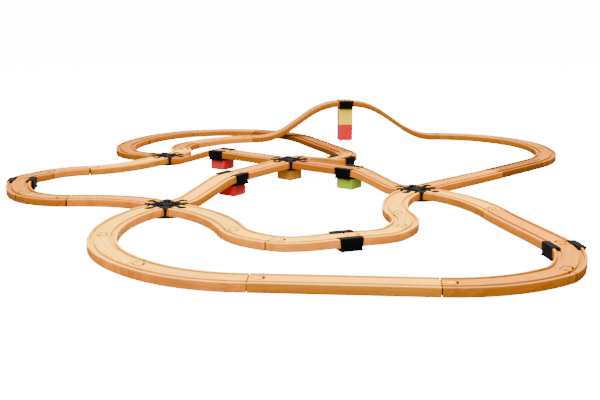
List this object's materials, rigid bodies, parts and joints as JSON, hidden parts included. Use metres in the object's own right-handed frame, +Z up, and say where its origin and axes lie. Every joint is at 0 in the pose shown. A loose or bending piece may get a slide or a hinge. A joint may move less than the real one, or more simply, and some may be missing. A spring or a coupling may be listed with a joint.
{
  "type": "wooden train set",
  "caption": "Laid-out wooden toy railway: grooved track loops meeting at black crossings, with bridges raised on studded bricks and one tall arch.",
  "frame": {"origin": "middle of the bounding box in plan, on the floor that the railway lies on", "axes": "+Z up; +X to the right and +Y away for somebody looking from the front, where the front loop is"},
  "size_m": [1.0254, 1.2368, 0.0906],
  "materials": {
    "track_wood": "satin",
    "black_plastic": "satin",
    "red_plastic": "gloss",
    "lime_plastic": "gloss",
    "mustard_plastic": "gloss",
    "yellow_plastic": "gloss"
  },
  "bodies": {
    "railway": {"back_bridge_1_short_straight": "track_wood", "back_bridge_2_half_straight": "track_wood", "back_loop_1_medium_curve_and_large_curve": "track_wood", "back_loop_7_medium_curve": "track_wood", "back_loop_8_half_straight": "track_wood", "brick_lime_right_bridge": "lime_plastic", "brick_mustard_middle": "mustard_plastic", "brick_red_back_bridge": "red_plastic", "brick_red_left_bridge": "red_plastic", "brick_red_tower": "red_plastic", "brick_yellow_tower": "yellow_plastic", "crossing_back_left": "black_plastic", "crossing_front_left": "black_plastic", "crossing_middle": "black_plastic", "crossing_right": "black_plastic", "front_loop_1_large_curve": "track_wood", "front_loop_6_medium_curve": "track_wood", "front_loop_7_long_straight": "track_wood", "front_loop_8_large_curve": "track_wood", "inner_loop_1_large_curve": "track_wood", "inner_loop_3_medium_curve": "track_wood", "inner_loop_4_medium_curve": "track_wood", "inner_loop_6_large_curve": "track_wood", "left_bridge_1_half_straight": "track_wood", "left_bridge_2_half_straight": "track_wood", "left_loop_1_large_curve": "track_wood", "left_loop_3_medium_curve": "track_wood", "left_loop_4_medium_curve": "track_wood", "left_loop_6_large_curve": "track_wood", "right_bridge_1_short_straight": "track_wood", "right_bridge_2_short_straight": "track_wood", "saddle_back_bridge": "black_plastic", "saddle_back_ramp": "black_plastic", "saddle_front_loop": "black_plastic", "saddle_inner_loop": "black_plastic", "saddle_left_bridge": "black_plastic", "saddle_left_loop": "black_plastic", "saddle_right_bridge": "black_plastic", "saddle_tower": "black_plastic", "tower_loop_10_small_curve": "track_wood", "tower_loop_1_long_straight": "track_wood", "tower_loop_6_long_straight": "track_wood", "tower_loop_7_long_straight": "track_wood"},
    "back_loop_3_large_curve": {"back_loop_3_large_curve": "track_wood"},
    "back_loop_4_large_curve": {"back_loop_4_large_curve": "track_wood"},
    "back_loop_5_large_curve_and_long_straight": {"back_loop_5_large_curve_and_long_straight": "track_wood"},
    "front_loop_2_large_curve": {"front_loop_2_large_curve": "track_wood"},
    "front_loop_3_large_curve": {"front_loop_3_large_curve": "track_wood"},
    "front_loop_4_long_straight": {"front_loop_4_long_straight": "track_wood"},
    "front_loop_5_large_curve": {"front_loop_5_large_curve": "track_wood"},
    "inner_loop_2_small_curve": {"inner_loop_2_small_curve": "track_wood"},
    "inner_loop_5_small_curve": {"inner_loop_5_small_curve": "track_wood"},
    "left_loop_2_small_curve": {"left_loop_2_small_curve": "track_wood"},
    "left_loop_5_small_curve": {"left_loop_5_small_curve": "track_wood"},
    "tower_loop_2_half_straight": {"tower_loop_2_half_straight": "track_wood"},
    "tower_loop_3_large_curve": {"tower_loop_3_large_curve": "track_wood"},
    "tower_loop_4_large_curve": {"tower_loop_4_large_curve": "track_wood"},
    "tower_loop_5_large_curve": {"tower_loop_5_large_curve": "track_wood"},
    "tower_loop_8_large_curve": {"tower_loop_8_large_curve": "track_wood"},
    "tower_loop_9_small_curve": {"tower_loop_9_small_curve": "track_wood"}
  },
  "joints": [
    {"name": "lift_back_loop_3_large_curve", "type": "slide", "parent": "railway", "child": "back_loop_3_large_curve", "axis": [0, 0, 1], "range_m": [0, 0.05]},
    {"name": "lift_back_loop_4_large_curve", "type": "slide", "parent": "railway", "child": "back_loop_4_large_curve", "axis": [0, 0, 1], "range_m": [0, 0.05]},
    {"name": "lift_back_loop_5_large_curve_and_long_straight", "type": "slide", "parent": "railway", "child": "back_loop_5_large_curve_and_long_straight", "axis": [0, 0, 1], "range_m": [0, 0.004]},
    {"name": "lift_front_loop_2_large_curve", "type": "slide", "parent": "railway", "child": "front_loop_2_large_curve", "axis": [0, 0, 1], "range_m": [0, 0.05]},
    {"name": "lift_front_loop_3_large_curve", "type": "slide", "parent": "railway", "child": "front_loop_3_large_curve", "axis": [0, 0, 1], "range_m": [0, 0.05]},
    {"name": "lift_front_loop_4_long_straight", "type": "slide", "parent": "railway", "child": "front_loop_4_long_straight", "axis": [0, 0, 1], "range_m": [0, 0.05]},
    {"name": "lift_front_loop_5_large_curve", "type": "slide", "parent": "railway", "child": "front_loop_5_large_curve", "axis": [0, 0, 1], "range_m": [0, 0.05]},
    {"name": "lift_inner_loop_2_small_curve", "type": "slide", "parent": "railway", "child": "inner_loop_2_small_curve", "axis": [0, 0, 1], "range_m": [0, 0.05]},
    {"name": "lift_inner_loop_5_small_curve", "type": "slide", "parent": "railway", "child": "inner_loop_5_small_curve", "axis": [0, 0, 1], "range_m": [0, 0.05]},
    {"name": "lift_left_loop_2_small_curve", "type": "slide", "parent": "railway", "child": "left_loop_2_small_curve", "axis": [0, 0, 1], "range_m": [0, 0.05]},
    {"name": "lift_left_loop_5_small_curve", "type": "slide", "parent": "railway", "child": "left_loop_5_small_curve", "axis": [0, 0, 1], "range_m": [0, 0.05]},
    {"name": "lift_tower_loop_2_half_straight", "type": "slide", "parent": "railway", "child": "tower_loop_2_half_straight", "axis": [0, 0, 1], "range_m": [0, 0.05]},
    {"name": "lift_tower_loop_3_large_curve", "type": "slide", "parent": "railway", "child": "tower_loop_3_large_curve", "axis": [0, 0, 1], "range_m": [0, 0.05]},
    {"name": "lift_tower_loop_4_large_curve", "type": "slide", "parent": "railway", "child": "tower_loop_4_large_curve", "axis": [0, 0, 1], "range_m": [0, 0.05]},
    {"name": "lift_tower_loop_5_large_curve", "type": "slide", "parent": "railway", "child": "tower_loop_5_large_curve", "axis": [0, 0, 1], "range_m": [0, 0.05]},
    {"name": "lift_tower_loop_8_large_curve", "type": "slide", "parent": "railway", "child": "tower_loop_8_large_curve", "axis": [0, 0, 1], "range_m": [0, 0.05]},
    {"name": "lift_tower_loop_9_small_curve", "type": "slide", "parent": "railway", "child": "tower_loop_9_small_curve", "axis": [0, 0, 1], "range_m": [0, 0.05]}
  ]
}
